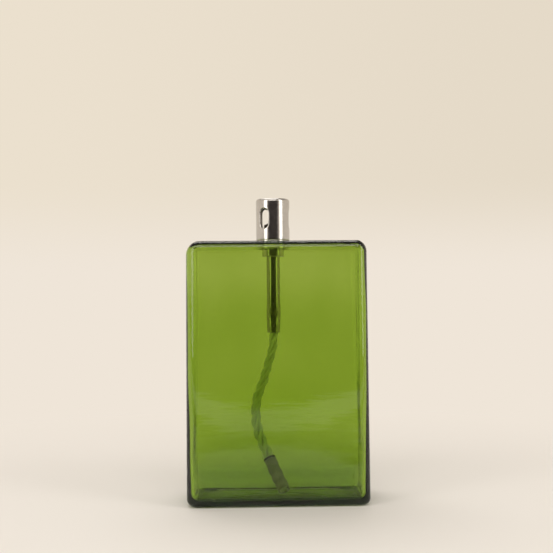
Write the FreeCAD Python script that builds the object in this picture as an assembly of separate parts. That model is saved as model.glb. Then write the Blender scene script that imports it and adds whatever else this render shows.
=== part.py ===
import FreeCAD, Part
import math
import os

# Wick bottle: a flat glass bottle, and a steel burner that stands in its mouth with a rope wick.
# Millimetres. +Z is up, -Y is the front. The origin is under the middle of the bottle's base.

# glass bottle
BASE_WIDTH = 80.4
TOP_WIDTH = 79.0
DEPTH = 36.0
HEIGHT = 115.0
SIDE_WALL = 2.5
FACE_WALL = 3.3
FLOOR = 3.2
TOP_WALL = 2.2
UPRIGHT_ROUND = 4.5
TOP_ROUND = 3.5
FOOT_ROUND = 2.7
CAVITY_UPRIGHT_ROUND = 4.0
CAVITY_TOP_ROUND = 3.0
CAVITY_FLOOR_ROUND = 3.6
KICK_HEIGHT = 2.0
KICK_HALF_LENGTH = 34.0
KICK_HALF_WIDTH = 12.6
PUSH_UP_HEIGHT = 1.2
PUSH_UP_HALF_LENGTH = 30.0
PUSH_UP_HALF_WIDTH = 10.6

# mouth, on the axis that the burner shares
MOUTH_X = -1.5
MOUTH_RADIUS = 5.0
LIP_RADIUS = 6.4
LIP_DROP = 1.0
LIP_ROUND = 0.6
MOUTH_ROUND = 0.5

# steel plug
RIM_RADIUS = 7.5
RIM_HEIGHT = 0.6
REGISTER_RADIUS = 6.45
REGISTER_HEIGHT = 3.0
COLLAR_RADIUS = 3.9
COLLAR_TOP = 7.6
SPIGOT_RADIUS = 4.9
SPIGOT_LENGTH = 6.8
PLUG_CHAMFER = 0.4

# slotted steel head
HEAD_RADIUS = 7.5
HEAD_WALL = 1.0
HEAD_TOP = 19.4
DOME_RADIUS = 60.0
HEAD_ROUND = 1.3
HEAD_INNER_ROUND = 0.6
FLUE_RADIUS = 4.0
FLUE_ROUND = 0.3
SLOT_WIDTH = 4.4
SLOT_LENGTH = 8.9
SLOT_CENTRE = 10.2
SLOT_COUNT = 3
FIRST_SLOT_TURN = -34.0

# steel wick tube, and its pinch: height, half width across and half depth front to back
TUBE_RADIUS = 3.0
TUBE_WALL = 0.5
TUBE_FOOT = 74.4
TUBE_RISE = 8.0
PINCH = [
    (88.0, 3.00, 3.00),
    (84.5, 3.13, 2.85),
    (81.0, 3.10, 2.60),
    (78.0, 2.95, 2.88),
    (TUBE_FOOT, 2.82, 2.82),
]

# wick: the stem inside the tube, then the free rope
STEM_RADIUS = 2.45
STEM_WAIST = 2.05
STEM_WAIST_TOP = 88.0
STEM_SHOULDER = 90.0
STEM_RISE = 9.6
STEM_ROUND = 0.5
ROPE_RADIUS = 2.5
ROPE_ROUTE = [
    (0.0, 0.0, TUBE_FOOT),
    (0.0, 0.0, 68.8),
    (-2.4, 0.3, 61.0),
    (-4.6, 0.9, 53.2),
    (-7.6, 1.5, 45.4),
    (-8.5, 1.7, 37.4),
    (-7.2, 1.2, 29.6),
    (-4.1, -0.2, 22.2),
    (-0.7, -2.8, 15.2),
    (2.0, -6.2, 9.6),
    (3.9, -10.2, 6.1),
]

# grey sleeve on the rope's tail, and the thread that binds its upper end
WRAP_LENGTH = 16.4
WRAP_INNER = 2.55
WRAP_OUTER = 2.9
THREAD_RADIUS = 0.25
THREAD_GAP = 0.03

BEND_SHARE = 0.45


def vec(x, y, z):
    return FreeCAD.Vector(x, y, z)


UP = vec(0, 0, 1)


def on_axis(z):
    return vec(MOUTH_X, 0, z)


def cylinder(radius, low, high):
    return Part.makeCylinder(radius, high - low, on_axis(low), UP)


def edges_where(shape, wanted):
    return [e for e in shape.Edges if wanted(e.BoundBox)]


def tapered_block(base_width, top_width, depth, low, high):
    corners = [
        vec(-base_width / 2, -depth / 2, low),
        vec(base_width / 2, -depth / 2, low),
        vec(top_width / 2, -depth / 2, high),
        vec(-top_width / 2, -depth / 2, high),
    ]
    outline = Part.makePolygon(corners + corners[:1])
    return Part.Face(outline).extrude(vec(0, depth, 0))


def rounded_block(block, upright, top, foot):
    low = block.BoundBox.ZMin
    high = block.BoundBox.ZMax
    uprights = edges_where(block, lambda b: b.ZLength > (high - low) / 2)
    block = block.makeFillet(upright, uprights)
    rim = edges_where(block, lambda b: b.ZMin > high - 1e-6)
    block = block.makeFillet(top, rim)
    sole = edges_where(block, lambda b: b.ZMax < low + 1e-6)
    return block.makeFillet(foot, sole)


def shallow_dome(height, half_length, half_width, base):
    """A low dome over a rectangle: what two wide arches, one along X and one along Y, both cover."""
    reach = 2 * half_length
    along = (half_length**2 + height**2) / (2 * height)
    across = (half_width**2 + height**2) / (2 * height)
    crown = base + height
    arch_x = Part.makeCylinder(along, 2 * reach, vec(0, -reach, crown - along), vec(0, 1, 0))
    arch_y = Part.makeCylinder(across, 2 * reach, vec(-reach, 0, crown - across), vec(1, 0, 0))
    slab = Part.makeBox(2 * reach, 2 * reach, 2 * height, vec(-reach, -reach, base))
    return slab.common(arch_x).common(arch_y)


def glass_bottle():
    body = tapered_block(BASE_WIDTH, TOP_WIDTH, DEPTH, 0, HEIGHT)
    body = rounded_block(body, UPRIGHT_ROUND, TOP_ROUND, FOOT_ROUND)
    ceiling = HEIGHT - TOP_WALL
    cavity = tapered_block(
        BASE_WIDTH - 2 * SIDE_WALL,
        TOP_WIDTH - 2 * SIDE_WALL,
        DEPTH - 2 * FACE_WALL,
        FLOOR,
        ceiling,
    )
    cavity = rounded_block(cavity, CAVITY_UPRIGHT_ROUND, CAVITY_TOP_ROUND, CAVITY_FLOOR_ROUND)
    push_up = shallow_dome(PUSH_UP_HEIGHT, PUSH_UP_HALF_LENGTH, PUSH_UP_HALF_WIDTH, FLOOR)
    cavity = cavity.cut(push_up)
    lip = cylinder(LIP_RADIUS, ceiling - LIP_DROP, HEIGHT - TOP_WALL / 2)
    lip = lip.makeFillet(LIP_ROUND, edges_where(lip, lambda b: b.ZMax < ceiling - LIP_DROP / 2))
    mouth = cylinder(MOUTH_RADIUS, ceiling - 2 * LIP_DROP, HEIGHT + LIP_DROP)
    kick = shallow_dome(KICK_HEIGHT, KICK_HALF_LENGTH, KICK_HALF_WIDTH, 0)
    glass = body.cut(cavity).fuse(lip).removeSplitter().cut(mouth).cut(kick)
    ring = edges_where(
        glass,
        lambda b: b.ZMin > HEIGHT - 1e-6 and abs(b.XLength - 2 * MOUTH_RADIUS) < 1e-3,
    )
    return glass.makeFillet(MOUTH_ROUND, ring)


def base_plug():
    rim = cylinder(RIM_RADIUS, HEIGHT, HEIGHT + RIM_HEIGHT)
    register = cylinder(REGISTER_RADIUS, HEIGHT, HEIGHT + RIM_HEIGHT + REGISTER_HEIGHT)
    collar = cylinder(COLLAR_RADIUS, HEIGHT, HEIGHT + COLLAR_TOP)
    top = edges_where(collar, lambda b: b.ZMin > HEIGHT + COLLAR_TOP - 1e-6)
    collar = collar.makeChamfer(PLUG_CHAMFER, top)
    spigot = cylinder(SPIGOT_RADIUS, HEIGHT - SPIGOT_LENGTH, HEIGHT + RIM_HEIGHT)
    foot = edges_where(spigot, lambda b: b.ZMax < HEIGHT - SPIGOT_LENGTH + 1e-6)
    spigot = spigot.makeChamfer(PLUG_CHAMFER, foot)
    bore = cylinder(TUBE_RADIUS, HEIGHT - 2 * SPIGOT_LENGTH, HEIGHT + 2 * COLLAR_TOP)
    return rim.fuse([register, collar, spigot]).removeSplitter().cut(bore)


def air_slot(turn):
    """One oval slot, cut outwards from the axis in the direction that is `turn` degrees from the front."""
    straight = SLOT_LENGTH - SLOT_WIDTH
    middle = HEIGHT + SLOT_CENTRE
    out = 2 * HEAD_RADIUS
    box = Part.makeBox(SLOT_WIDTH, out, straight, vec(-SLOT_WIDTH / 2, -out, middle - straight / 2))
    ends = [
        Part.makeCylinder(SLOT_WIDTH / 2, out, vec(0, -out, middle + side * straight / 2), vec(0, 1, 0))
        for side in (-1, 1)
    ]
    slot = box.fuse(ends)
    slot.rotate(vec(0, 0, 0), UP, turn)
    slot.translate(vec(MOUTH_X, 0, 0))
    return slot


def domed_cylinder(radius, low, high, edge_round):
    """A cylinder whose top is a shallow dome with a rounded edge."""
    dome = Part.makeSphere(DOME_RADIUS, on_axis(high - DOME_RADIUS))
    solid = cylinder(radius, low, high + 1).common(dome)
    edge = edges_where(solid, lambda b: b.ZMin > (low + high) / 2 and b.XLength > 1.9 * radius)
    return solid.makeFillet(edge_round, edge)


def burner_head():
    low = HEIGHT + RIM_HEIGHT
    high = HEIGHT + HEAD_TOP
    shell = domed_cylinder(HEAD_RADIUS, low, high, HEAD_ROUND)
    hollow = domed_cylinder(HEAD_RADIUS - HEAD_WALL, low - 1, high - HEAD_WALL, HEAD_INNER_ROUND)
    flue = cylinder(FLUE_RADIUS, high - 3 * HEAD_WALL, high + 1)
    shell = shell.cut(hollow).cut(flue)
    lips = edges_where(shell, lambda b: b.ZMin > high - 2 * HEAD_WALL and abs(b.XLength - 2 * FLUE_RADIUS) < 1e-3)
    shell = shell.makeFillet(FLUE_ROUND, lips)
    for n in range(SLOT_COUNT):
        shell = shell.cut(air_slot(FIRST_SLOT_TURN + n * 360.0 / SLOT_COUNT))
    return shell


def oval(half_width, half_depth, z):
    curve = Part.Circle(on_axis(z), UP, half_width)
    if half_width > half_depth:
        curve = Part.Ellipse(vec(MOUTH_X + half_width, 0, z), vec(MOUTH_X, half_depth, z), on_axis(z))
    return Part.Wire(curve.toBSpline().toShape())


def tube_solid(inset):
    """The tube's outside, or its inside when inset by the wall."""
    sections = [oval(wide - inset, deep - inset, z) for z, wide, deep in PINCH]
    pinched = Part.makeLoft(sections, True, False)
    return pinched, cylinder(TUBE_RADIUS - inset, PINCH[0][0], HEIGHT + TUBE_RISE)


def wick_tube():
    lower, upper = tube_solid(0)
    lower_bore, upper_bore = tube_solid(TUBE_WALL)
    return upper.cut(upper_bore).fuse(lower.cut(lower_bore))


def wick_stem():
    profile = [
        vec(MOUTH_X, 0, TUBE_FOOT),
        vec(MOUTH_X + STEM_WAIST, 0, TUBE_FOOT),
        vec(MOUTH_X + STEM_WAIST, 0, STEM_WAIST_TOP),
        vec(MOUTH_X + STEM_RADIUS, 0, STEM_SHOULDER),
        vec(MOUTH_X + STEM_RADIUS, 0, HEIGHT + STEM_RISE),
        vec(MOUTH_X, 0, HEIGHT + STEM_RISE),
    ]
    outline = Part.makePolygon(profile + profile[:1])
    stem = Part.Face(outline).revolve(on_axis(0), UP, 360)
    tip = edges_where(stem, lambda b: b.ZMin > HEIGHT + STEM_RISE - 1e-6 and b.XLength > STEM_RADIUS)
    return stem.makeFillet(STEM_ROUND, tip)


def route_edges(points):
    """Straight runs joined by tangent arcs, each as large as its two runs allow. Also gives the arcs' radii."""
    edges = []
    radii = []
    start = points[0]
    for before, corner, after in zip(points, points[1:], points[2:]):
        back = (before - corner).normalize()
        ahead = (after - corner).normalize()
        half_turn = (math.pi - back.getAngle(ahead)) / 2
        shorter = min((before - corner).Length, (after - corner).Length)
        tangent = BEND_SHARE * shorter
        radius = tangent / math.tan(half_turn)
        enter = corner + back * tangent
        leave = corner + ahead * tangent
        inward = (back + ahead).normalize()
        crest = corner + inward * (radius / math.cos(half_turn) - radius)
        edges.append(Part.LineSegment(start, enter).toShape())
        edges.append(Part.Arc(enter, crest, leave).toShape())
        radii.append(radius)
        start = leave
    edges.append(Part.LineSegment(start, points[-1]).toShape())
    return edges, radii


def swept(edges, radius):
    start = edges[0].valueAt(edges[0].FirstParameter)
    heading = edges[0].tangentAt(edges[0].FirstParameter)
    ring = Part.Wire(Part.Circle(start, heading, radius).toShape())
    return Part.Wire(edges).makePipeShell([ring], True, False)


def tail_edges(edges, length):
    """The last part of a route, of the given length, that begins on one of its straight runs."""
    kept = []
    left = length
    for edge in reversed(edges):
        if edge.Length < left:
            kept.insert(0, edge)
            left -= edge.Length
            continue
        end = edge.valueAt(edge.LastParameter)
        heading = edge.tangentAt(edge.LastParameter)
        kept.insert(0, Part.LineSegment(end - heading * left, end).toShape())
        return kept
    return kept


def wick_rope(edges):
    return swept(edges, ROPE_RADIUS)


def tail_wrap(edges):
    tail = tail_edges(edges, WRAP_LENGTH)
    return swept(tail, WRAP_OUTER).cut(swept(tail, WRAP_INNER))


def tail_thread(edges):
    first = tail_edges(edges, WRAP_LENGTH)[0]
    start = first.valueAt(first.FirstParameter)
    heading = first.tangentAt(first.FirstParameter)
    centre = start - heading * (THREAD_RADIUS + THREAD_GAP)
    ring = ROPE_RADIUS + THREAD_GAP + THREAD_RADIUS
    return Part.makeTorus(ring, THREAD_RADIUS, centre, heading)


def rope_points():
    return [vec(MOUTH_X + x, y, z) for x, y, z in ROPE_ROUTE]


rope_edges, rope_radii = route_edges(rope_points())
pieces = {
    "glass_bottle": glass_bottle(),
    "base_plug": base_plug(),
    "burner_head": burner_head(),
    "wick_tube": wick_tube(),
    "wick_stem": wick_stem(),
    "wick_rope": wick_rope(rope_edges),
    "tail_wrap": tail_wrap(rope_edges),
    "tail_thread": tail_thread(rope_edges),
}

for node, shape in pieces.items():
    shape.exportStep("parts/" + node + ".step")
    box = shape.BoundBox
    print(
        node,
        shape.ShapeType,
        "valid" if shape.isValid() else "INVALID",
        "solids", len(shape.Solids),
        "volume", round(shape.Volume, 1),
        "z", round(box.ZMin, 2), round(box.ZMax, 2),
    )

rope_length = sum(e.Length for e in rope_edges)
print("rope length", round(rope_length, 2))
print("rope volume", round(math.pi * ROPE_RADIUS**2 * rope_length, 1))
print("rope arc radii", [round(r, 1) for r in rope_radii])
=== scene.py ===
import math

import bmesh
import bpy
from mathutils import Matrix, Vector, noise


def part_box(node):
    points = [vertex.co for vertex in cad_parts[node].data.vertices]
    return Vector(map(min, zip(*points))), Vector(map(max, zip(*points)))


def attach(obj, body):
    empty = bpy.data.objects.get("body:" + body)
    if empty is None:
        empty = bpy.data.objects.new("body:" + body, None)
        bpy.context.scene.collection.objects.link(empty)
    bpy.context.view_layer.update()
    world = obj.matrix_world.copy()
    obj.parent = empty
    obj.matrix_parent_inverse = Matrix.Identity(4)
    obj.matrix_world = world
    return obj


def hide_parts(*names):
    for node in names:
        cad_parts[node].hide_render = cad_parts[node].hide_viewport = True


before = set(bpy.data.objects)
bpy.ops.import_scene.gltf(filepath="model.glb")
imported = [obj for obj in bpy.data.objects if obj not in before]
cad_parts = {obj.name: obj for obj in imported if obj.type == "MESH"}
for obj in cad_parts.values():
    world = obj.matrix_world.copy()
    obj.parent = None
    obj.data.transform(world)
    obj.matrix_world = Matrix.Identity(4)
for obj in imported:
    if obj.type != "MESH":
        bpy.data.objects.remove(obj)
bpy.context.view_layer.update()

# Metres, in the row frame: +Z is up, -Y is the front, the origin is under the middle of the bottle's base.
MM = 0.001
UP = Vector((0, 0, 1))

glass_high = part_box("glass_bottle")[1]
head_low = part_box("burner_head")[0]
plug_low, plug_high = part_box("base_plug")
tube_low, tube_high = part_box("wick_tube")
stem_low, stem_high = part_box("wick_stem")

AXIS = Vector(((stem_low.x + stem_high.x) / 2, 0, 0))
BOTTLE_TOP = glass_high.z
TUBE_FOOT = tube_low.z


# ---------------------------------------------------------------- helpers


def smooth_step(t):
    t = min(max(t, 0.0), 1.0)
    return t * t * (3 - 2 * t)


def mix(a, b, t):
    return a + (b - a) * t


def table_value(table, x):
    """A value between the rows of a short table of (x, value), on a smooth line through the rows."""
    if x <= table[0][0]:
        return table[0][1]
    if x >= table[-1][0]:
        return table[-1][1]
    slopes = [(b[1] - a[1]) / (b[0] - a[0]) for a, b in zip(table, table[1:])]
    tangents = [0.0] + [(a + b) / 2 for a, b in zip(slopes, slopes[1:])] + [0.0]
    n = max(n for n in range(len(slopes)) if table[n][0] <= x)
    (x0, v0), (x1, v1) = table[n], table[n + 1]
    run = x1 - x0
    t = (x - x0) / run
    value = (2 * t**3 - 3 * t**2 + 1) * v0 + (3 * t**2 - 2 * t**3) * v1
    return value + run * ((t**3 - 2 * t**2 + t) * tangents[n] + (t**3 - t**2) * tangents[n + 1])


def add_mesh(name, verts, faces, material, body, stands_for=(), uvs=None):
    mesh = bpy.data.meshes.new(name)
    mesh.from_pydata([tuple(v) for v in verts], [], faces)
    if uvs:
        layer = mesh.uv_layers.new(name="UVMap")
        for loop in mesh.loops:
            layer.data[loop.index].uv = uvs[loop.vertex_index]
    mesh.polygons.foreach_set("use_smooth", [True] * len(mesh.polygons))
    mesh.materials.append(material)
    mesh.validate()
    piece = bpy.data.objects.new(name, mesh)
    bpy.context.scene.collection.objects.link(piece)
    outward(piece)
    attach(piece, body)
    if stands_for:
        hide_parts(*stands_for)
    return piece


def outward(piece):
    """Turns every face of a closed mesh outward."""
    work = bmesh.new()
    work.from_mesh(piece.data)
    bmesh.ops.recalc_face_normals(work, faces=work.faces)
    work.to_mesh(piece.data)
    work.free()


def ring_faces(count, size, wrap=False):
    """Quads between rings of the same size, numbered one after another."""
    faces = []
    pairs = [(n, n + 1) for n in range(count - 1)]
    if wrap:
        pairs.append((count - 1, 0))
    for a, b in pairs:
        for i in range(size):
            j = (i + 1) % size
            faces.append((a * size + i, a * size + j, b * size + j, b * size + i))
    return faces


def tube_mesh(rings, wrap=False, cap_start=False, cap_end=False):
    """Vertices and faces of a skin over rings of points, closed at an end by a fan to its middle."""
    size = len(rings[0])
    verts = [p for ring in rings for p in ring]
    faces = ring_faces(len(rings), size, wrap)
    for wanted, ring in ((cap_start, 0), (cap_end, len(rings) - 1)):
        if wanted:
            middle = sum((Vector(p) for p in rings[ring]), Vector()) / size
            verts.append(middle)
            faces += [
                (ring * size + i, ring * size + (i + 1) % size, len(verts) - 1) for i in range(size)
            ]
    return verts, faces


def circle_point(angle, radius, z, deep=None):
    """A point round the burner's axis. angle runs from the front towards +X; deep is the radius along Y."""
    return AXIS + Vector((radius * math.sin(angle), -(deep or radius) * math.cos(angle), z))


def lathe(profile, segments=160):
    """A skin of revolution round the burner's axis through (radius, z) points."""
    rings = [
        [circle_point(2 * math.pi * i / segments, r, z) for i in range(segments)] for r, z in profile
    ]
    return tube_mesh(rings, wrap=True)


def softened(corners, steps=5):
    """A closed outline of (radius, z, round) corners, each rounded by an arc."""
    out = []
    count = len(corners)
    for n, (r, z, rounding) in enumerate(corners):
        here = Vector((r, z))
        before = Vector(corners[n - 1][:2]) - here
        after = Vector(corners[(n + 1) % count][:2]) - here
        if rounding <= 0:
            out.append((r, z))
            continue
        before.normalize()
        after.normalize()
        half = before.angle(after) / 2
        reach = rounding / math.tan(half)
        centre = here + (before + after).normalized() * (rounding / math.sin(half))
        start = here + before * reach - centre
        end = here + after * reach - centre
        for k in range(steps + 1):
            out.append(tuple(centre + start.slerp(end, k / steps).normalized() * rounding))
    return out


# ---------------------------------------------------------------- materials


class Nodes:
    """A short way to write a node tree."""

    def __init__(self, name, world=False):
        self.owner = bpy.data.worlds.new(name) if world else bpy.data.materials.new(name)
        self.owner.use_nodes = True
        self.tree = self.owner.node_tree
        self.tree.nodes.clear()

    def add(self, kind, sockets=None, **settings):
        node = self.tree.nodes.new(kind)
        for key, value in settings.items():
            setattr(node, key, value)
        for key, value in (sockets or {}).items():
            self.put(node.inputs[key], value)
        return node

    def put(self, socket, value):
        if isinstance(value, bpy.types.NodeSocket):
            self.tree.links.new(value, socket)
        else:
            socket.default_value = value

    def math(self, operation, a, b=0.0, c=0.0):
        node = self.add("ShaderNodeMath", operation=operation)
        for socket, value in zip(node.inputs, (a, b, c)):
            self.put(socket, value)
        return node.outputs[0]

    def stretched(self, scale, source="Object"):
        """Coordinates stretched by a scale per axis."""
        where = self.add("ShaderNodeTexCoord").outputs[source]
        return self.add("ShaderNodeMapping", {"Vector": where, "Scale": scale}).outputs[0]

    def noise(self, where, scale, detail=3.0, roughness=0.5):
        node = self.add(
            "ShaderNodeTexNoise",
            {"Vector": where, "Scale": scale, "Detail": detail, "Roughness": roughness},
        )
        return node.outputs["Fac"]

    def between(self, value, low, high, to_low, to_high):
        node = self.add(
            "ShaderNodeMapRange",
            {"Value": value, "From Min": low, "From Max": high, "To Min": to_low, "To Max": to_high},
        )
        return node.outputs[0]

    def ramp(self, value, stops):
        node = self.add("ShaderNodeValToRGB", {"Fac": value})
        ramp = node.color_ramp
        while len(ramp.elements) < len(stops):
            ramp.elements.new(0.5)
        for element, (place, colour) in zip(ramp.elements, stops):
            element.position = place
            element.color = (*colour, 1)
        return node.outputs["Color"]

    def bump(self, height, strength, distance, normal=None):
        sockets = {"Height": height, "Strength": strength, "Distance": distance}
        if normal:
            sockets["Normal"] = normal
        return self.add("ShaderNodeBump", sockets).outputs[0]

    def surface(self, shader):
        out = self.add("ShaderNodeOutputMaterial")
        self.tree.links.new(shader, out.inputs["Surface"])
        return out


def srgb(red, green, blue):
    """A linear colour from three 0 to 255 screen values."""
    return tuple(
        v / 12.92 if v <= 0.04045 else ((v + 0.055) / 1.055) ** 2.4
        for v in (red / 255, green / 255, blue / 255)
    )


def green_glass():
    """Blown green glass: slow waves, faint level streaks left by the mould, and a little orange peel."""
    n = Nodes("green_glass")
    waves = n.noise(n.stretched((1, 1, 0.7)), 48, detail=1.0)
    streaks = n.noise(n.stretched((0.12, 0.12, 1)), 330, detail=2.5, roughness=0.6)
    peel = n.noise(n.stretched((1, 1, 1)), 420, detail=2)
    normal = n.bump(waves, 0.25, 0.0006)
    normal = n.bump(streaks, 0.22, 0.00016, normal)
    normal = n.bump(peel, 0.08, 0.00006, normal)
    glass = n.add(
        "ShaderNodeBsdfPrincipled",
        {
            "Base Color": (1, 1, 1, 1),
            "Roughness": 0.0,
            "IOR": 1.5,
            "Transmission Weight": 1.0,
            "Normal": normal,
        },
    )
    out = n.surface(glass.outputs[0])
    tint = n.add("ShaderNodeVolumeAbsorption", {"Color": (0.597, 0.737, 0.0, 1), "Density": 507.0})
    n.tree.links.new(tint.outputs[0], out.inputs["Volume"])
    return n.owner


def polished_steel(name, tone=1.0):
    """Turned and polished steel: fine lines round the axis, a few handling marks and faint haze."""
    n = Nodes(name)
    lines = n.noise(n.stretched((1, 1, 40)), 90, detail=4, roughness=0.7)
    haze = n.noise(n.stretched((1, 1, 1)), 260, detail=4, roughness=0.6)
    marks = n.noise(n.stretched((1, 1, 0.3)), 900, detail=2)
    roughness = n.math(
        "ADD",
        n.between(haze, 0.35, 0.7, 0.13, 0.22),
        n.between(marks, 0.62, 0.75, 0.0, 0.12),
    )
    normal = n.bump(lines, 0.12, 0.00004)
    normal = n.bump(haze, 0.06, 0.0001, normal)
    # a tone below 1 makes a darker copy of the same steel: painted shade
    bright = [tone * c for c in (0.60, 0.580, 0.560)]
    dull = [tone * c for c in (0.53, 0.505, 0.485)]
    colour = n.ramp(haze, [(0.3, bright), (0.75, dull)])
    steel = n.add(
        "ShaderNodeBsdfPrincipled",
        {"Base Color": colour, "Metallic": 1.0, "Roughness": roughness, "Normal": normal},
    )
    n.surface(steel.outputs[0])
    return n.owner


def rope_cotton():
    """White cotton yarn: fine threads that run along each strand, fluff, and light that soaks in. The colour
    holds painted light: a green tint and extra brightness for the light that reaches it through the green
    glass, and painted shade between the threads.
    """
    n = Nodes("white_wick")
    threads = n.add(
        "ShaderNodeTexWave",
        {"Vector": n.stretched((6, 900, 1), "UV"), "Scale": 1.0, "Distortion": 2.2, "Detail": 2.0},
        bands_direction="DIAGONAL",
    ).outputs["Fac"]
    fluff = n.noise(n.stretched((1, 1, 1)), 2600, detail=4, roughness=0.7)
    normal = n.bump(threads, 0.6, 0.00012)
    normal = n.bump(fluff, 0.4, 0.00008, normal)
    # painted shade: the colour is darker between the threads; the ramp's green tint and brightness are
    # painted light from the green glass
    shade = n.math("MULTIPLY", threads, n.between(fluff, 0.3, 0.7, 0.8, 1.0))
    colour = n.ramp(
        shade, [(0.0, (0.68, 0.76, 0.70)), (0.4, (0.86, 0.95, 0.88)), (1.0, (0.90, 0.98, 0.92))]
    )
    yarn = n.add(
        "ShaderNodeBsdfPrincipled",
        {
            "Base Color": colour,
            "Roughness": 0.92,
            "Sheen Weight": 0.4,
            "Subsurface Weight": 0.7,
            "Subsurface Radius": (1.0, 1.0, 1.0),
            "Subsurface Scale": 0.0012,
            "Normal": normal,
        },
    )
    n.surface(yarn.outputs[0])
    return n.owner


def grey_sleeve():
    """Wound matt tape: overlaps, fine creases and worn edges."""
    n = Nodes("grey_sleeve")
    creases = n.noise(n.stretched((1, 1, 1)), 1500, detail=5, roughness=0.65)
    patches = n.noise(n.stretched((1, 1, 1)), 330, detail=2)
    normal = n.bump(creases, 0.45, 0.00012)
    colour = n.ramp(patches, [(0.3, (0.20, 0.19, 0.22)), (0.7, (0.33, 0.31, 0.35))])
    tape = n.add(
        "ShaderNodeBsdfPrincipled",
        {
            "Base Color": colour,
            "Roughness": n.between(creases, 0.3, 0.7, 0.5, 0.75),
            "Normal": normal,
        },
    )
    n.surface(tape.outputs[0])
    return n.owner


def dark_thread():
    """Waxed thread with the twist of its plies."""
    n = Nodes("dark_thread")
    twist = n.add(
        "ShaderNodeTexWave",
        {"Vector": n.stretched((4, 260, 1), "UV"), "Scale": 1.0, "Distortion": 0.6},
        bands_direction="DIAGONAL",
    ).outputs["Fac"]
    colour = n.ramp(twist, [(0.0, (0.012, 0.012, 0.012)), (1.0, (0.06, 0.058, 0.052))])
    thread = n.add(
        "ShaderNodeBsdfPrincipled",
        {"Base Color": colour, "Roughness": 0.6, "Normal": n.bump(twist, 0.5, 0.00005)},
    )
    n.surface(thread.outputs[0])
    return n.owner


GLASS = green_glass()
STEEL = polished_steel("polished_steel")
# painted shade: the tube is the same polished steel, given a 28% darker colour so that it looks dark through
# the glass
TUBE_STEEL_SHADED = polished_steel("steel_painted_darker", tone=0.72)
WICK = rope_cotton()
SLEEVE = grey_sleeve()
THREAD = dark_thread()


# ---------------------------------------------------------------- camera

CAMERA_DISTANCE = 0.448
CAMERA_HEIGHT = 0.0994
CAMERA_TURN = math.radians(-1.9)
CAMERA_ROLL = math.radians(0.45)
CAMERA_LENS = 65.1


def add_camera():
    data = bpy.data.cameras.new("camera")
    data.lens = CAMERA_LENS
    data.sensor_width = 36.0
    data.clip_start = 0.01
    camera = bpy.data.objects.new("camera", data)
    away = Vector((math.sin(CAMERA_TURN), -math.cos(CAMERA_TURN), 0))
    camera.location = away * CAMERA_DISTANCE + UP * CAMERA_HEIGHT
    level = (-away).to_track_quat("-Z", "Y").to_matrix().to_4x4()
    roll = Matrix.Rotation(-CAMERA_ROLL, 4, "Z")
    camera.matrix_world = Matrix.Translation(camera.location) @ level @ roll
    bpy.context.scene.collection.objects.link(camera)
    bpy.context.scene.camera = camera


add_camera()


# ---------------------------------------------------------------- wick

ROPE_RADIUS = 0.0025
WRAP_LENGTH = 0.0164
LAY = 0.0165
STRANDS = 3
STRAND_RADIUS = ROPE_RADIUS * 0.455

# how much narrower the strands lie than the full rope, by the way from the tube's mouth
ROPE_SQUEEZE = [(0.0, 0.80), (0.020, 0.80), (0.040, 0.88), (0.056, 0.97)]
TAIL_SQUEEZE = 0.93

TAPE_RADIUS = 0.00263
TAPE_INSIDE = 0.00232
TAPE_PITCH = 0.0042

THREAD_RADIUS = 0.00021
THREAD_ORBIT = 0.00262
THREAD_PITCH = 0.0008
THREAD_TURNS = 2.15

YARN_ENDS = 34
YARN_RADIUS = 0.00030
YARN_SPREAD = 0.00195
YARN_STEPS = 6
YARN_SIDES = 8
FRAY_HEIGHT = 0.0011
GOLDEN_ANGLE = 2.399963

# the same route as the rope's solid, from the burner's axis
ROPE_ROUTE = [
    (0.0, 0.0, TUBE_FOOT),
    (0.0, 0.0, 0.0688),
    (-0.0024, 0.0003, 0.0610),
    (-0.0046, 0.0009, 0.0532),
    (-0.0076, 0.0015, 0.0454),
    (-0.0085, 0.0017, 0.0374),
    (-0.0072, 0.0012, 0.0296),
    (-0.0041, -0.0002, 0.0222),
    (-0.0007, -0.0028, 0.0152),
    (0.0020, -0.0062, 0.0096),
    (0.0039, -0.0102, 0.0061),
]


def route_line(points, name):
    """The points along the NURBS spline that a route's points control."""
    curve = bpy.data.curves.new(name, "CURVE")
    curve.dimensions = "3D"
    spline = curve.splines.new("NURBS")
    spline.points.add(len(points) - 1)
    for point, (x, y, z) in zip(spline.points, points):
        point.co = (AXIS.x + x, y, z, 1)
    spline.order_u = 3
    spline.use_endpoint_u = True
    spline.resolution_u = 30
    holder = bpy.data.objects.new(name, curve)
    bpy.context.scene.collection.objects.link(holder)
    bpy.context.view_layer.update()
    mesh = bpy.data.meshes.new_from_object(holder)
    line = [v.co.copy() for v in mesh.vertices]
    bpy.data.objects.remove(holder)
    bpy.data.curves.remove(curve)
    bpy.data.meshes.remove(mesh)
    return line


def frames_along(line):
    """For each point of a line: the point, two directions across it that don't twist, and the way so far."""
    out = []
    side = Vector((1, 0, 0))
    way = 0.0
    for n, point in enumerate(line):
        ahead = (line[min(n + 1, len(line) - 1)] - line[max(n - 1, 0)]).normalized()
        side = (side - ahead * side.dot(ahead)).normalized()
        if n:
            way += (point - line[n - 1]).length
        out.append((point, side.copy(), ahead.cross(side), way))
    return out


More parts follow.
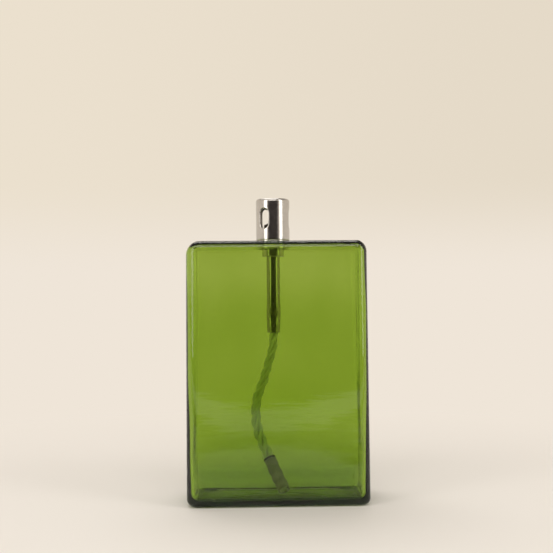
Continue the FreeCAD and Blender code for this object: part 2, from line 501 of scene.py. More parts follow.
def strand_mesh(frames, number, radius_at, sides=14):
    """One strand of the rope: a tube that winds round the line, a little uneven, with its ends closed."""
    rings = []
    uvs = []
    for point, side, across, way in frames:
        strand, orbit = radius_at(way)
        angle = 2 * math.pi * (number / STRANDS + way / LAY)
        angle += 0.16 * noise.noise(Vector((way * 210, number * 7.1, 3.3)))
        orbit *= 1 + 0.07 * noise.noise(Vector((way * 170, number * 3.7, 9.1)))
        strand *= 1 + 0.06 * noise.noise(Vector((way * 240, number * 5.3, 1.7)))
        centre = point + (side * math.cos(angle) + across * math.sin(angle)) * orbit
        ring = []
        for k in range(sides):
            turn = 2 * math.pi * k / sides + angle
            ring.append(centre + (side * math.cos(turn) + across * math.sin(turn)) * strand)
            uvs.append((k / sides, way))
        rings.append(ring)
    verts, faces = tube_mesh(rings, cap_start=True, cap_end=True)
    uvs += [(0.5, 0.0), (0.5, 0.0)]
    return verts, faces, uvs


def joined(meshes):
    """The vertices, faces and coordinates of several meshes as one mesh."""
    verts, faces, uvs = [], [], []
    for more, skin, coordinates in meshes:
        faces += [tuple(i + len(verts) for i in face) for face in skin]
        verts += more
        uvs += coordinates
    return verts, faces, uvs


def strands_along(frames, radius_at):
    return [strand_mesh(frames, number, radius_at) for number in range(STRANDS)]


def add_rope(line):
    frames = frames_along(line)
    length = frames[-1][3]

    def radius_at(way):
        """Wound tight where it leaves the tube, looser further down, squeezed by the tape at the tail."""
        squeeze = table_value(ROPE_SQUEEZE, way)
        squeeze *= mix(1.0, TAIL_SQUEEZE, smooth_step((way - length + WRAP_LENGTH) / 0.002 + 0.5))
        return STRAND_RADIUS * squeeze, (ROPE_RADIUS - STRAND_RADIUS) * squeeze

    verts, faces, uvs = joined(strands_along(frames, radius_at))
    return add_mesh(
        "wick_rope_strands", verts, faces, WICK, "wick", ["wick_rope"], uvs
    )


def add_wrap(line):
    """Tape wound over the tail: each turn overlaps the last, so the skin steps in a shallow helix."""
    frames = frames_along(line)
    length = frames[-1][3]
    tail = [f for f in frames if f[3] >= length - WRAP_LENGTH]
    sides = 48
    rings, inside = [], []
    for point, side, across, way in tail:
        from_end = min(way - tail[0][3], length - way)
        lip = mix(0.90, 1.0, smooth_step(from_end / 0.0008))
        ring, inner = [], []
        for k in range(sides):
            turn = 2 * math.pi * k / sides
            step = (way / TAPE_PITCH + k / sides) % 1.0
            ridge = 0.00012 * (step if step < 0.9 else (1 - step) / 0.1 * 0.9)
            bulge = 0.00010 * math.cos(STRANDS * (turn - 2 * math.pi * way / LAY))
            rough = 0.00005 * noise.noise(Vector((way * 900, math.cos(turn) * 1.5, math.sin(turn) * 1.5)))
            spoke = side * math.cos(turn) + across * math.sin(turn)
            ring.append(point + spoke * (lip * (TAPE_RADIUS + ridge + bulge + rough)))
            inner.append(point + spoke * TAPE_INSIDE)
        rings.append(ring)
        inside.append(inner)
    verts, faces = tube_mesh(rings + inside[::-1], wrap=True)
    return add_mesh("tail_wrap_tape", verts, faces, SLEEVE, "wick", ["tail_wrap"])


def add_thread(line):
    """Two close turns of waxed thread at the tape's upper end."""
    frames = frames_along(line)
    length = frames[-1][3]
    middle = length - WRAP_LENGTH - 0.0003
    point, side, across, _ = min(frames, key=lambda f: abs(f[3] - middle))
    along = side.cross(across)
    steps, sides = 96, 10
    rings, uvs = [], []
    for n in range(steps + 1):
        share = n / steps
        turn = 2 * math.pi * THREAD_TURNS * share
        out = side * math.cos(turn) + across * math.sin(turn)
        heading = (across * math.cos(turn) - side * math.sin(turn)).normalized()
        tuck = 0.00016 * (smooth_step(1 - share * 12) + smooth_step(1 - (1 - share) * 12))
        centre = point + out * (THREAD_ORBIT - tuck) + along * (share - 0.5) * THREAD_PITCH
        up = heading.cross(out)
        ring = []
        for k in range(sides):
            a = 2 * math.pi * k / sides
            ring.append(centre + (out * math.cos(a) + up * math.sin(a)) * THREAD_RADIUS)
            uvs.append((k / sides, share * 0.035))
        rings.append(ring)
    verts, faces = tube_mesh(rings, cap_start=True, cap_end=True)
    uvs += [(0.5, 0.0), (0.5, 0.0)]
    return add_mesh(
        "tail_thread_turns", verts, faces, THREAD, "wick", ["tail_thread"], uvs
    )


def yarn_end(number, foot):
    """One loose yarn of the cut tip: a thin tube that leans and tapers, up from the strands' cut ends."""
    spot = number * GOLDEN_ANGLE
    reach = YARN_SPREAD * math.sqrt((number + 0.5) / YARN_ENDS)
    lean = 0.00028 * noise.noise(Vector((number * 1.7, 0.3, 4.4)))
    trimmed = 0.00045 * (0.5 + 0.5 * noise.noise(Vector((number * 2.3, 5.1, 0.9))))
    height = stem_high.z - foot - trimmed
    rings, uvs = [], []
    for n in range(YARN_STEPS + 1):
        share = n / YARN_STEPS
        radius = YARN_RADIUS * (1 - 0.55 * share**2)
        out = reach + lean * share**2
        turn = spot + 0.5 * share
        centre = AXIS + Vector((out * math.cos(turn), out * math.sin(turn), foot + height * share))
        ring = []
        for k in range(YARN_SIDES):
            a = 2 * math.pi * k / YARN_SIDES
            ring.append(centre + Vector((math.cos(a) * radius, math.sin(a) * radius, 0)))
            uvs.append((k / YARN_SIDES, share * 0.001))
        rings.append(ring)
    verts, faces = tube_mesh(rings, cap_start=True, cap_end=True)
    return verts, faces, uvs + [(0.5, 0.0), (0.5, 0.0)]


def add_stem():
    """The wick inside the tube: the same strands, straight, pinched with the tube, cut and frayed on top."""
    height = stem_high.z - TUBE_FOOT - FRAY_HEIGHT
    steps = round(height / 0.0004)
    line = [AXIS + UP * (TUBE_FOOT + height * n / steps) for n in range(steps + 1)]
    waist = [(0.0, 0.80), (0.0125, 0.78), (0.0160, 0.91), (height - 0.001, 0.93), (height, 0.91)]

    def radius_at(way):
        squeeze = table_value(waist, way)
        return STRAND_RADIUS * squeeze, (ROPE_RADIUS - STRAND_RADIUS) * squeeze

    yarns = [yarn_end(number, TUBE_FOOT + height - 0.0006) for number in range(YARN_ENDS)]
    verts, faces, uvs = joined(strands_along(frames_along(line), radius_at) + yarns)
    add_mesh("wick_stem_strands", verts, faces, WICK, "wick", ["wick_stem"], uvs)


rope_line = route_line(ROPE_ROUTE, "rope_route")
rope = add_rope(rope_line)
wrap = add_wrap(rope_line)
thread = add_thread(rope_line)
add_stem()


# ---------------------------------------------------------------- steel

TUBE_RADIUS = 0.0030
TUBE_WALL = 0.0005

# the tube's half width and half depth in millimetres, by height in metres, from its foot over the pinch
PINCH_WIDTH = [(0.0744, 2.82), (0.0780, 2.95), (0.0810, 3.10), (0.0845, 3.13), (0.0880, 3.00)]
PINCH_DEPTH = [(0.0744, 2.82), (0.0780, 2.84), (0.0812, 2.68), (0.0845, 2.88), (0.0880, 3.00)]


def add_tube():
    heights = [mix(TUBE_FOOT, 0.089, n / 60) for n in range(61)] + [0.095, 0.105, tube_high.z]
    sides = 128
    lip = 0.00018

    def ring(z, inset):
        wide = table_value(PINCH_WIDTH, z) * MM - inset
        deep = table_value(PINCH_DEPTH, z) * MM - inset
        return [circle_point(2 * math.pi * i / sides, wide, z, deep) for i in range(sides)]

    def rounded(end, towards, turns):
        """Rings round a lip at one end of the tube; towards is 1 or -1, the way into the tube."""
        return [ring(end + towards * lip * (1 - math.sin(a)), lip * (1 - math.cos(a))) for a in turns]

    outer = [ring(max(z, TUBE_FOOT + lip), 0) for z in heights[:-1]]
    outer += [ring(tube_high.z - lip, 0)]
    top_lip = rounded(tube_high.z, -1, (0.5, 1.0, 1.57))
    inner = [ring(z, TUBE_WALL) for z in reversed(heights)]
    foot_lip = rounded(TUBE_FOOT, 1, (1.57, 1.0, 0.5))
    verts, faces = tube_mesh(outer + top_lip + inner + foot_lip, wrap=True)
    add_mesh("wick_tube_drawn", verts, faces, TUBE_STEEL_SHADED, "burner", ["wick_tube"])


def add_plug():
    """Rim, register and collar above the glass, spigot below it, in one turned piece."""
    spigot, rim, register, collar = 0.0049, 0.0075, 0.00645, 0.0039
    rim_top = BOTTLE_TOP + 0.0006
    register_top = rim_top + 0.003
    profile = [
        (TUBE_RADIUS, plug_low.z, 0.0001),
        (spigot, plug_low.z, 0.00035),
        (spigot, BOTTLE_TOP, 0.00008),
        (rim, BOTTLE_TOP, 0.00018),
        (rim, rim_top, 0.00018),
        (register, rim_top, 0.00005),
        (register, register_top, 0.0003),
        (collar, register_top, 0.0002),
        (collar, plug_high.z, 0.0004),
        (TUBE_RADIUS, plug_high.z, 0.0001),
    ]
    verts, faces = lathe(softened(profile))
    add_mesh("base_plug_turned", verts, faces, STEEL, "burner", ["base_plug"])


HEAD_RADIUS = 0.0075
HEAD_WALL = 0.001
SLOT_HALF_WIDTH = 0.0022
SLOT_HALF_LENGTH = 0.00445
SLOT_MIDDLE = BOTTLE_TOP + 0.0102
SLOT_TURN = math.radians(-34.0)
SLOT_COUNT = 3
SLOT_LIP = 0.00038
BORDER_ACROSS, BORDER_RISE = 26, 24
FLUE_RADIUS = 0.004
HEAD_TOP = BOTTLE_TOP + 0.0194
HEAD_SHOULDER = 0.0013
DOME_RADIUS = 0.060


def oval_edge(direction, grow):
    """Where a ray from an air slot's middle meets its edge, grown outwards: arc length across, height up."""
    width = SLOT_HALF_WIDTH + grow
    straight = SLOT_HALF_LENGTH - SLOT_HALF_WIDTH
    x, z = direction
    if abs(x) * straight >= abs(z) * width:
        return Vector((math.copysign(width, x), z / abs(x) * width))
    end = math.copysign(straight, z)
    a = x * x + z * z
    b = -2 * z * end
    c = end * end - width * width
    reach = (-b + math.sqrt(b * b - 4 * a * c)) / (2 * a)
    return Vector((x * reach, z * reach))


def slot_border(across, rise):
    """Points round one slot's share of the wall, from half its arc length and half its height."""
    xs = [mix(-across, across, n / BORDER_ACROSS) for n in range(BORDER_ACROSS)]
    zs = [mix(-rise, rise, n / BORDER_RISE) for n in range(BORDER_RISE)]
    out = [Vector((x, -rise)) for x in xs] + [Vector((across, z)) for z in zs]
    out += [Vector((-x, rise)) for x in xs] + [Vector((-across, -z)) for z in zs]
    return out


def add_head():
    """The shell: a wall with rounded slots, a domed top with a flue, and a hollow inside."""
    sector = 2 * math.pi / SLOT_COUNT
    rise = SLOT_HALF_LENGTH + 0.0011
    inner_lip = SLOT_LIP * 0.5
    shares = [(k / 9) ** 1.5 for k in range(10)]
    bend = [math.pi / 2 * k / 6 for k in range(7)]
    verts, faces, known = [], [], {}

    def vertex(angle, radius, z):
        point = circle_point(angle, radius, z)
        key = tuple(round(c * 1e8) for c in point)
        if key not in known:
            known[key] = len(verts)
            verts.append(point)
        return known[key]

    def band(loops):
        for a, b in zip(loops, loops[1:]):
            for i in range(len(a)):
                j = (i + 1) % len(a)
                distinct = tuple(dict.fromkeys((a[i], a[j], b[j], b[i])))
                if len(distinct) > 2:
                    faces.append(distinct)

    border = slot_border(sector * HEAD_RADIUS / 2, rise)
    inner = HEAD_RADIUS - HEAD_WALL
    for n in range(SLOT_COUNT):
        middle = SLOT_TURN + n * sector

        def loop(radius, points):
            return [vertex(middle + p.x / HEAD_RADIUS, radius, SLOT_MIDDLE + p.y) for p in points]

        def edge(grow):
            return [oval_edge(p, grow) for p in border]

        loops = []
        for share in shares[::-1]:
            points = [b.lerp(e, 1 - share) for b, e in zip(border, edge(SLOT_LIP))]
            loops.append(loop(HEAD_RADIUS, points))
        for a in bend[1:]:
            radius = HEAD_RADIUS - SLOT_LIP * (1 - math.cos(a))
            loops.append(loop(radius, edge(SLOT_LIP * (1 - math.sin(a)))))
        for a in bend:
            radius = inner + inner_lip * (1 - math.sin(a))
            loops.append(loop(radius, edge(inner_lip * (1 - math.cos(a)))))
        for share in shares[1:]:
            points = [e.lerp(b, share) for b, e in zip(border, edge(inner_lip))]
            loops.append(loop(inner, points))
        band(loops)

    turns = sorted({SLOT_TURN + n * sector + p.x / HEAD_RADIUS for n in range(SLOT_COUNT) for p in border})
    turns = [t for n, t in enumerate(turns) if n == 0 or t - turns[n - 1] > 1e-7]
    turns = turns[: SLOT_COUNT * BORDER_ACROSS]

    def full(radius, z):
        return [vertex(t, radius, z) for t in turns]

    band([full(r, z) for r, z in head_foot(SLOT_MIDDLE - rise, inner)])
    band([full(r, z) for r, z in head_crown(SLOT_MIDDLE + rise, inner)])
    add_mesh("burner_head_shell", verts, faces, STEEL, "head", ["burner_head"])


def head_foot(top, inner):
    """The wall below the slots: down the outside, round the lower lip, up the inside."""
    low = head_low.z
    lip = 0.00022
    out = [(HEAD_RADIUS, mix(top, low + lip, n / 6)) for n in range(7)]
    for k in range(1, 5):
        a = math.pi / 2 * k / 4
        out.append((HEAD_RADIUS - lip * (1 - math.cos(a)), low + lip * (1 - math.sin(a))))
    out.append((inner + 0.0001, low))
    out.append((inner, low + 0.0001))
    out += [(inner, mix(low + 0.0001, top, n / 6)) for n in range(1, 7)]
    return out


def head_crown(bottom, inner):
    """The wall above the slots, the rounded shoulder, the domed top, the flue's lip and the ceiling."""
    lip = 0.0003
    inner_round = 0.0006

    def dome(radius, drop=0.0):
        """The dome's point at a radius, or the ceiling's, which lies lower by the wall."""
        height = HEAD_TOP - drop - (DOME_RADIUS - math.sqrt(DOME_RADIUS**2 - radius**2))
        return radius, height

    crest = HEAD_RADIUS - HEAD_SHOULDER
    start = dome(crest)[1] - HEAD_SHOULDER
    out = [(HEAD_RADIUS, mix(bottom, start, n / 6)) for n in range(7)]
    for k in range(1, 11):
        a = math.radians(84) * k / 10
        out.append((HEAD_RADIUS - HEAD_SHOULDER * (1 - math.cos(a)), start + HEAD_SHOULDER * math.sin(a)))
    edge = FLUE_RADIUS + lip
    out += [dome(mix(crest, edge, n / 6)) for n in range(1, 7)]
    for k in range(1, 6):
        a = math.pi / 2 * k / 5
        out.append((edge - lip * math.sin(a), dome(edge)[1] - lip * (1 - math.cos(a))))
    flat = inner - inner_round
    out += [dome(mix(FLUE_RADIUS, flat, n / 4), HEAD_WALL) for n in range(5)]
    base = dome(flat, HEAD_WALL)[1] - inner_round
    for k in range(1, 6):
        a = math.pi / 2 * (1 - k / 5)
        out.append((inner - inner_round * (1 - math.cos(a)), base + inner_round * math.sin(a)))
    out += [(inner, mix(base, bottom, n / 6)) for n in range(1, 7)]
    return out


add_tube()
add_plug()
add_head()


# ---------------------------------------------------------------- glass

# points round a ring: in each corner, along each face and along each side
ARC_STEPS, LONG_STEPS, SHORT_STEPS = 16, 44, 20
RING_SIZE = 4 * ARC_STEPS + 2 * LONG_STEPS + 2 * SHORT_STEPS

# rings up the walls, and the angles of the rings round an edge
OUTER_STEPS, HOLLOW_STEPS = 48, 64
QUARTER = [math.pi / 2 * k / 9 for k in range(10)]

HALF_WIDTH = glass_high.x
HALF_DEPTH = glass_high.y
FLOOR = 0.0021
CEILING = BOTTLE_TOP - 0.0022
SIDE_WALL, FACE_WALL = 0.0023, 0.0032
KICK, KICK_SIZE = 0.0020, (0.0340, 0.0126)
PUSH_UP, PUSH_UP_SIZE = 0.0012, (0.0300, 0.0106)
MOUTH_RADIUS = 0.0050
MOUTH_ROUND = 0.0005
LIP_RADIUS = 0.0064
LIP_DROP = 0.0010
LIP_ROUND = 0.0006

# how far the left and the right side lean in at the top, and how far the whole right side is set in
LEAN_LEFT, LEAN_RIGHT = 0.0005, 0.0010
RIGHT_INSET = 0.0003

# rounding at the left, at the right, and along the two faces
UPRIGHTS = (0.0050, 0.0046)
FOOT_ROUND = (0.0034, 0.0028, 0.0027)
SHOULDER_ROUND = (0.0060, 0.0049, 0.0035)
HOLLOW_UPRIGHTS = (0.0034, 0.0028)
HOLLOW_FOOT = (0.0034, 0.0030, 0.0032)
HOLLOW_SHOULDER = (0.0036, 0.0028, 0.0020)

# blown glass runs thicker towards the base: how much thicker than the usual wall, by height
FRONT_EXTRA = [
    (0.009, 0.0), (0.014, 0.0004), (0.022, 0.0007), (0.034, 0.0006),
    (0.055, 0.0002), (0.082, 0.0), (0.107, -0.0004),
]
BACK_EXTRA = [
    (0.004, 0.0030), (0.0095, 0.0032), (0.013, 0.0018), (0.020, 0.0010),
    (0.031, 0.0004), (0.050, 0.0002), (0.082, 0.0), (0.107, -0.0006),
]
SIDE_EXTRA = [(0.006, 0.0004), (0.020, 0.0002), (0.060, -0.0001), (0.100, -0.0003)]

# the front face sinks a little towards its sides, low down: how deep, at what height, over what height,
# from which place across, and over what width to the left and to the right of it
SAG = 0.00055
SAG_HEIGHT, SAG_REACH = 0.028, 0.017
SAG_MIDDLE, SAG_LEFT, SAG_RIGHT = -0.012, 0.022, 0.040

# bubbles in the front wall: place across and up, radius
BUBBLES = [(-0.0283, 0.0034, 0.00062), (-0.0153, 0.0215, 0.00032)]
SMALL_BUBBLES = 22


def outline(left_x, right_x, y, rounds):
    """Points and outward directions round a rectangle with rounded corners, from +X round by +Y."""
    left, right = rounds
    out = []

    def run(a, b, normal, steps):
        out.extend((Vector(a).lerp(Vector(b), n / steps), Vector(normal)) for n in range(steps))

    def arc(centre, radius, quarter):
        for n in range(ARC_STEPS):
            turn = math.pi / 2 * (quarter + n / ARC_STEPS)
            normal = Vector((math.cos(turn), math.sin(turn)))
            out.append((Vector(centre) + normal * radius, normal))

    half = SHORT_STEPS // 2
    run((right_x, 0), (right_x, y - right), (1, 0), half)
    arc((right_x - right, y - right), right, 0)
    run((right_x - right, y), (left - left_x, y), (0, 1), LONG_STEPS)
    arc((left - left_x, y - left), left, 1)
    run((-left_x, y - left), (-left_x, left - y), (-1, 0), SHORT_STEPS)
    arc((left - left_x, left - y), left, 2)
    run((left - left_x, -y), (right_x - right, -y), (0, -1), LONG_STEPS)
    arc((right_x - right, right - y), right, 3)
    run((right_x, right - y), (right_x, 0), (1, 0), half)
    return out


def by_side(normal, values):
    """A value for a direction from the values at the left, at the right and on the faces."""
    left, right, face = values
    return (left if normal.x < 0 else right) * normal.x**2 + face * normal.y**2


def skin_ring(size, rounds, height, inwards, drawn=(0.0, 0.0, 0.0)):
    """One ring of a skin of the bottle. height is worked out from a point's outward direction, and inwards
    from that and its place. drawn is how far the ring is drawn in at the left, the right and the faces."""
    left, right, face = drawn
    sharpest = 0.0006
    corners = [max(r - (side + face) / 2, sharpest) for r, side in zip(rounds, (left, right))]
    points = []
    for place, normal in outline(size[0] - left, size[0] - right, size[1] - face, corners):
        z = height(normal)
        moved = place - normal * inwards(normal, Vector((place.x, place.y, z)))
        points.append(Vector((moved.x, moved.y, z)))
    return points


def drawn_in(radii, share):
    return tuple(r * share for r in radii)


def mouth_ring(radius, z):
    """A ring round the mouth whose points match an outline's, one by one."""
    turns = [2 * math.pi * i / RING_SIZE for i in range(RING_SIZE)]
    return [AXIS + Vector((radius * math.cos(t), radius * math.sin(t), z)) for t in turns]


def rings_between(a, b):
    """Rings over a flat part. The outermost lie close to the rounded edges, which keeps the middle flat."""
    shares = (0.008, 0.03, 0.12, 0.35, 0.65, 0.9, 0.98)
    return [[p.lerp(q, share) for p, q in zip(a, b)] for share in shares]


def narrowing(normal, z):
    """How far the sides lean in with height: the right one more than the left."""
    share = z / BOTTLE_TOP
    return abs(normal.x) * (LEAN_LEFT * share if normal.x < 0 else RIGHT_INSET + LEAN_RIGHT * share)


def outer_move(normal, place):
    """How far the outside is moved inwards at a point: the lean, slow waves and the sunk front."""
    wave = 0.5 + 0.5 * noise.noise(place * 30 + Vector((3.1, 0.7, 5.5)))
    across = (place.x - SAG_MIDDLE) / (SAG_LEFT if place.x < SAG_MIDDLE else SAG_RIGHT)
    sag = SAG * min(across**2, 1.6) * math.exp(-(((place.z - SAG_HEIGHT) / SAG_REACH) ** 2))
    sag *= normal.y**2 if normal.y < 0 else 0
    return narrowing(normal, place.z) + 0.00007 * wave + sag


def inner_move(normal, place):
    """How far the hollow's wall is moved inwards at a point: the lean, the thicker heel and waves."""
    z = place.z
    face = table_value(FRONT_EXTRA if normal.y < 0 else BACK_EXTRA, z)
    extra = face * normal.y**2 + table_value(SIDE_EXTRA, z) * normal.x**2
    calm = smooth_step((z - 0.012) / 0.012)
    wave = 0.00022 * noise.noise(place * 42 + Vector((8.2, 1.9, 2.4)))
    wave += 0.00010 * noise.noise(Vector((place.x * 120, place.y * 120, z * 60)))
    return narrowing(normal, z) + extra + wave * calm


def dome_rings(size, low, height, moved):
    """Rings of a low dome over a rectangle, from its edge to near its middle."""
    out = []
    for share in (1.0, 0.97, 0.92, 0.84, 0.74, 0.62, 0.48, 0.33, 0.16):
        corner = 0.0045 * share
        z = low + height * (1 - share * share)
        smaller = (size[0] * share, size[1] * share)
        out.append(skin_ring(smaller, (corner, corner), lambda n: z, moved))
    return out


def still(normal, place):
    return 0.0


def outer_rings():
    """Rings up the outside: round the foot, up the sides and round the shoulder."""
    size = (HALF_WIDTH, HALF_DEPTH)
    rings = []
    for a in QUARTER:
        rings.append(skin_ring(
            size, UPRIGHTS,
            lambda n: by_side(n, FOOT_ROUND) * (1 - math.cos(a)),
            outer_move,
            drawn_in(FOOT_ROUND, 1 - math.sin(a)),
        ))
    for k in range(1, OUTER_STEPS):
        rings.append(skin_ring(
            size, UPRIGHTS,
            lambda n: mix(by_side(n, FOOT_ROUND), BOTTLE_TOP - by_side(n, SHOULDER_ROUND), k / OUTER_STEPS),
            outer_move,
        ))
    for a in QUARTER:
        rings.append(skin_ring(
            size, UPRIGHTS,
            lambda n: BOTTLE_TOP - by_side(n, SHOULDER_ROUND) * (1 - math.sin(a)),
            outer_move,
            drawn_in(SHOULDER_ROUND, 1 - math.cos(a)),
        ))
    return rings


def mouth_rings():
    """Rings in through the mouth: over its rounded edge, down it, and round the lip that hangs below it."""
    rings = [mouth_ring(MOUTH_RADIUS + MOUTH_ROUND, BOTTLE_TOP)]
    for a in QUARTER[2::2] + QUARTER[-1:]:
        radius = MOUTH_RADIUS + MOUTH_ROUND * (1 - math.sin(a))
        rings.append(mouth_ring(radius, BOTTLE_TOP - MOUTH_ROUND * (1 - math.cos(a))))
    foot = CEILING - LIP_DROP
    rings.append(mouth_ring(MOUTH_RADIUS, mix(BOTTLE_TOP, foot, 0.6)))
    rings.append(mouth_ring(MOUTH_RADIUS, foot + 0.00015))
    rings.append(mouth_ring(MOUTH_RADIUS + 0.00015, foot))
    for a in QUARTER[::3]:
        radius = LIP_RADIUS - LIP_ROUND * (1 - math.sin(a))
        rings.append(mouth_ring(radius, foot + LIP_ROUND * (1 - math.cos(a))))
    rings.append(mouth_ring(LIP_RADIUS, CEILING - 0.0002))
    rings.append(mouth_ring(LIP_RADIUS + 0.0002, CEILING))
    return rings


def hollow_rings():
    """Rings down the hollow: round its shoulder, down its walls and round its foot."""
    size = (HALF_WIDTH - SIDE_WALL, HALF_DEPTH - FACE_WALL)
    rings = []
    for a in QUARTER[::-1]:
        rings.append(skin_ring(
            size, HOLLOW_UPRIGHTS,
            lambda n: CEILING - by_side(n, HOLLOW_SHOULDER) * (1 - math.sin(a)),
            inner_move,
            drawn_in(HOLLOW_SHOULDER, 1 - math.cos(a)),
        ))
    for k in range(1, HOLLOW_STEPS):
        rings.append(skin_ring(
            size, HOLLOW_UPRIGHTS,
            lambda n: mix(
                CEILING - by_side(n, HOLLOW_SHOULDER), FLOOR + by_side(n, HOLLOW_FOOT), k / HOLLOW_STEPS
            ),
            inner_move,
        ))
    for a in QUARTER:
        rings.append(skin_ring(
            size, HOLLOW_UPRIGHTS,
            lambda n: FLOOR + by_side(n, HOLLOW_FOOT) * (1 - math.sin(a)),
            inner_move,
            drawn_in(HOLLOW_FOOT, 1 - math.cos(a)),
        ))
    return rings


def glass_rings():
    """Rings over the whole skin of the glass: up the outside, in through the mouth, and down the hollow."""
    outside, mouth, hollow = outer_rings(), mouth_rings(), hollow_rings()
    rings = dome_rings(KICK_SIZE, 0.0, KICK, still)[::-1] + outside
    rings += rings_between(outside[-1], mouth[0]) + mouth
    rings += rings_between(mouth[-1], hollow[0]) + hollow
    return rings + dome_rings(PUSH_UP_SIZE, FLOOR, PUSH_UP, still)


def add_bubbles(piece, bubbles):
    """Hollows inside the wall: small closed skins that face inwards, a little drawn out upwards."""
    work = bmesh.new()
    work.from_mesh(piece.data)
    for centre, radius in bubbles:
        made = bmesh.ops.create_uvsphere(work, u_segments=20, v_segments=12, radius=radius)
        skins = {face for vert in made["verts"] for face in vert.link_faces}
        for vert in made["verts"]:
            vert.co = centre + Vector((vert.co.x, vert.co.y * 0.8, vert.co.z * 1.25))
        bmesh.ops.reverse_faces(work, faces=list(skins))
        for face in skins:
            face.smooth = True
    work.to_mesh(piece.data)
    work.free()


def add_glass():
    verts, faces = tube_mesh(glass_rings(), cap_start=True, cap_end=True)
    glass = add_mesh("bottle_glass", verts, faces, GLASS, "bottle", ["glass_bottle"])
    front = FACE_WALL / 2 - HALF_DEPTH
    bubbles = [(Vector((x, front, z)), radius) for x, z, radius in BUBBLES]
    for n in range(SMALL_BUBBLES):
        spot = noise.random_unit_vector()
        share = noise.random()
        side = -1 if n % 2 else 1
        place = Vector((spot.x * 0.033, side * -front, 0.008 + 0.100 * abs(spot.z)))
        bubbles.append((place, mix(0.00008, 0.00020, share)))
    add_bubbles(glass, bubbles)


noise.seed_set(7)
add_glass()


# ---------------------------------------------------------------- studio

HORIZON = srgb(239, 229, 216)
WALL_LEFT = srgb(235, 224, 206)
WALL_RIGHT = srgb(229, 218, 200)
DARK = (0.042, 0.035, 0.031)
CEILING_TONE = (0.36, 0.33, 0.29)
FLOOR_ALBEDO = (0.810, 0.785, 0.765)
LAMP_COLOUR = (1, 0.97, 0.92)


def mirrored(n):
    """Two shares: of light mirrored on the outside of a piece, and of light mirrored inside the bottle that
    has come out through its wall. Both are 0 for what is seen directly or through glass."""
    path = n.add("ShaderNodeLightPath").outputs
    glossy = n.math("MINIMUM", path["Glossy Depth"], 1.0)
    walls = path["Transmission Depth"]
    outside = n.math("SUBTRACT", 1.0, n.math("MINIMUM", walls, 1.0))
    inside = n.between(walls, 3.0, 4.0, 0.0, 1.0)
    return n.math("MULTIPLY", glossy, outside), n.math("MULTIPLY", glossy, inside)


def mix_colour(n, share, a, b):
    """A mix of two colours, each one a socket or three numbers."""
    node = n.add("ShaderNodeMix", data_type="RGBA")
    n.put(node.inputs[0], share)
    n.put(node.inputs[6], a if isinstance(a, bpy.types.NodeSocket) else (*a, 1))
    n.put(node.inputs[7], b if isinstance(b, bpy.types.NodeSocket) else (*b, 1))
    return node.outputs[2]


def eased(n, value, low, high):
    """0 at low and 1 at high, with a smooth run between them."""
    node = n.add(
        "ShaderNodeMapRange",
        {"Value": value, "From Min": low, "From Max": high},
        interpolation_type="SMOOTHSTEP",
    )
    return node.outputs[0]


def add_world():
    """A pale wall all round. In reflections the space in front of the table is painted dark, as behind any
    lens:
    only mirrored rays see it, in bands set for the head's steel and for the tube inside the bottle.
    """
    n = Nodes("studio", world=True)
    where = n.add("ShaderNodeTexCoord").outputs["Generated"]
    parts = n.add("ShaderNodeSeparateXYZ", {0: where})
    x, y, z = parts.outputs
    wall = mix_colour(n, eased(n, x, -0.25, 0.30), WALL_LEFT, WALL_RIGHT)
    pale = mix_colour(n, eased(n, z, 0.0, 0.10), HORIZON, wall)
    ceiling = mix_colour(n, eased(n, z, 0.42, 0.75), pale, CEILING_TONE)
    near_front = eased(n, y, -0.05, -0.15)
    aside = n.math("ABSOLUTE", x)
    outside, inside = mirrored(n)
    # painted reflection: the dark shows only in mirrored rays; seen directly or through glass the wall stays
    # pale
    on_steel = n.math("MULTIPLY", eased(n, z, 0.45, 0.25), eased(n, aside, 0.70, 0.50))
    on_tube = n.math("MULTIPLY", eased(n, z, 0.22, 0.14), eased(n, z, -0.30, -0.22))
    on_tube = n.math("MULTIPLY", on_tube, eased(n, aside, 0.93, 0.80))
    seen = n.math("MAXIMUM", n.math("MULTIPLY", on_steel, outside), n.math("MULTIPLY", on_tube, inside))
    dark = n.math("MULTIPLY", near_front, seen)
    colour = mix_colour(n, dark, ceiling, DARK)
    shader = n.add("ShaderNodeBackground", {"Color": colour, "Strength": 1.0})
    out = n.add("ShaderNodeOutputWorld")
    n.tree.links.new(shader.outputs[0], out.inputs["Surface"])
    bpy.context.scene.world = n.owner


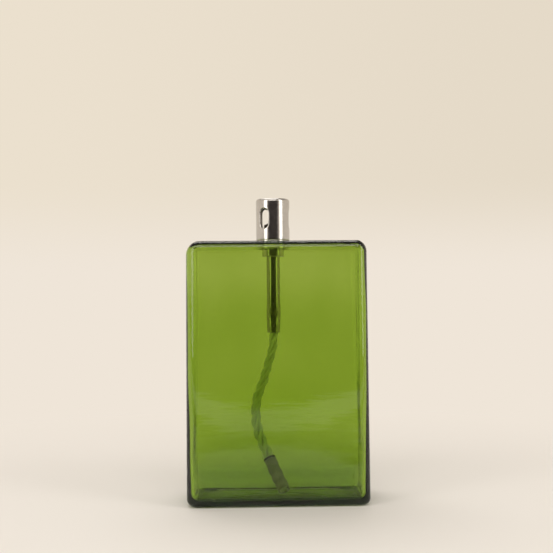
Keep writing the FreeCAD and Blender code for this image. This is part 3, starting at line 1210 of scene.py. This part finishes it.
def floor_material():
    """Pale card near the bottle, fading into the horizon. Painted reflections: only mirrored rays see it
    dark in a strip in front, and dark again further out."""
    n = Nodes("pale_floor")
    where = n.add("ShaderNodeTexCoord").outputs["Object"]
    away = n.add("ShaderNodeVectorMath", {0: where}, operation="LENGTH").outputs["Value"]
    grain = n.noise(n.stretched((1, 1, 1)), 700, detail=3)
    card = n.add(
        "ShaderNodeBsdfPrincipled",
        {
            "Base Color": (*FLOOR_ALBEDO, 1),
            "Roughness": 0.95,
            "Specular IOR Level": 0.1,
            "Normal": n.bump(grain, 0.05, 0.0002),
        },
    )
    far = n.add("ShaderNodeEmission", {"Color": (*HORIZON, 1), "Strength": 1.0})
    dark = n.add("ShaderNodeEmission", {"Color": (*DARK, 1), "Strength": 0.6})
    fade = eased(n, away, 0.07, 0.30)
    ground = n.add("ShaderNodeMixShader", {0: fade, 1: card.outputs[0], 2: far.outputs[0]})
    y = n.add("ShaderNodeSeparateXYZ", {0: where}).outputs[1]
    # painted reflection: these dark bands show only in mirrored rays
    strip = n.math("MULTIPLY", eased(n, y, -0.165, -0.185), eased(n, y, -0.235, -0.215))
    outside, inside = mirrored(n)
    beyond = n.math("MULTIPLY", eased(n, y, -0.30, -0.36), n.math("MAXIMUM", outside, inside))
    front = n.math("MAXIMUM", beyond, n.math("MULTIPLY", n.math("MULTIPLY", strip, 0.8), outside))
    n.surface(n.add("ShaderNodeMixShader", {0: front, 1: ground.outputs[0], 2: dark.outputs[0]}).outputs[0])
    return n.owner


def add_floor():
    """A wide round floor, a hair under the bottle."""
    radii = [0.1, 0.2, 0.4, 0.8, 1.6, 3.2, 8.0]
    turns = [2 * math.pi * i / 96 for i in range(96)]
    rings = [[(r * math.cos(t), r * math.sin(t), -0.0002) for t in turns] for r in radii]
    verts, faces = tube_mesh(rings, cap_start=True)
    mesh = bpy.data.meshes.new("floor")
    mesh.from_pydata([tuple(v) for v in verts], [], faces)
    mesh.materials.append(floor_material())
    floor = bpy.data.objects.new("floor", mesh)
    bpy.context.scene.collection.objects.link(floor)
    outward(floor)
    if mesh.polygons[0].normal.z < 0:
        mesh.flip_normals()


def add_light(name, place, aim, width, height, radiance, through_glass=True):
    """A softbox. radiance is how bright its face is, whatever its size."""
    data = bpy.data.lights.new(name, "AREA")
    data.shape = "RECTANGLE"
    data.size = width
    data.size_y = height
    data.energy = radiance * math.pi * width * height
    data.color = LAMP_COLOUR
    light = bpy.data.objects.new(name, data)
    turn = (Vector(aim) - Vector(place)).to_track_quat("-Z", "Y").to_matrix().to_4x4()
    light.matrix_world = Matrix.Translation(place) @ turn
    light.visible_camera = False
    light.visible_transmission = through_glass
    bpy.context.scene.collection.objects.link(light)


def around(azimuth, distance, z):
    """A place round the bottle; azimuth in degrees from the front towards +X."""
    turn = math.radians(azimuth)
    return Vector((math.sin(turn) * distance, -math.cos(turn) * distance, z))


add_world()
add_floor()
MIDDLE = (0, 0, 0.10)
add_light("softbox_left", around(-51.5, 0.80, 0.34), MIDDLE, 0.28, 0.90, 2.5)
add_light("softbox_right", around(56, 0.80, 0.34), MIDDLE, 0.28, 0.90, 2.6)
add_light("softbox_top", (-0.12, 0.38, 0.95), (0, 0, 0), 0.7, 0.6, 2.4, through_glass=False)
add_light("softbox_front", around(-3, 0.85, 0.80), MIDDLE, 0.9, 0.5, 2.3)

bpy.context.scene.view_settings.view_transform = "Standard"
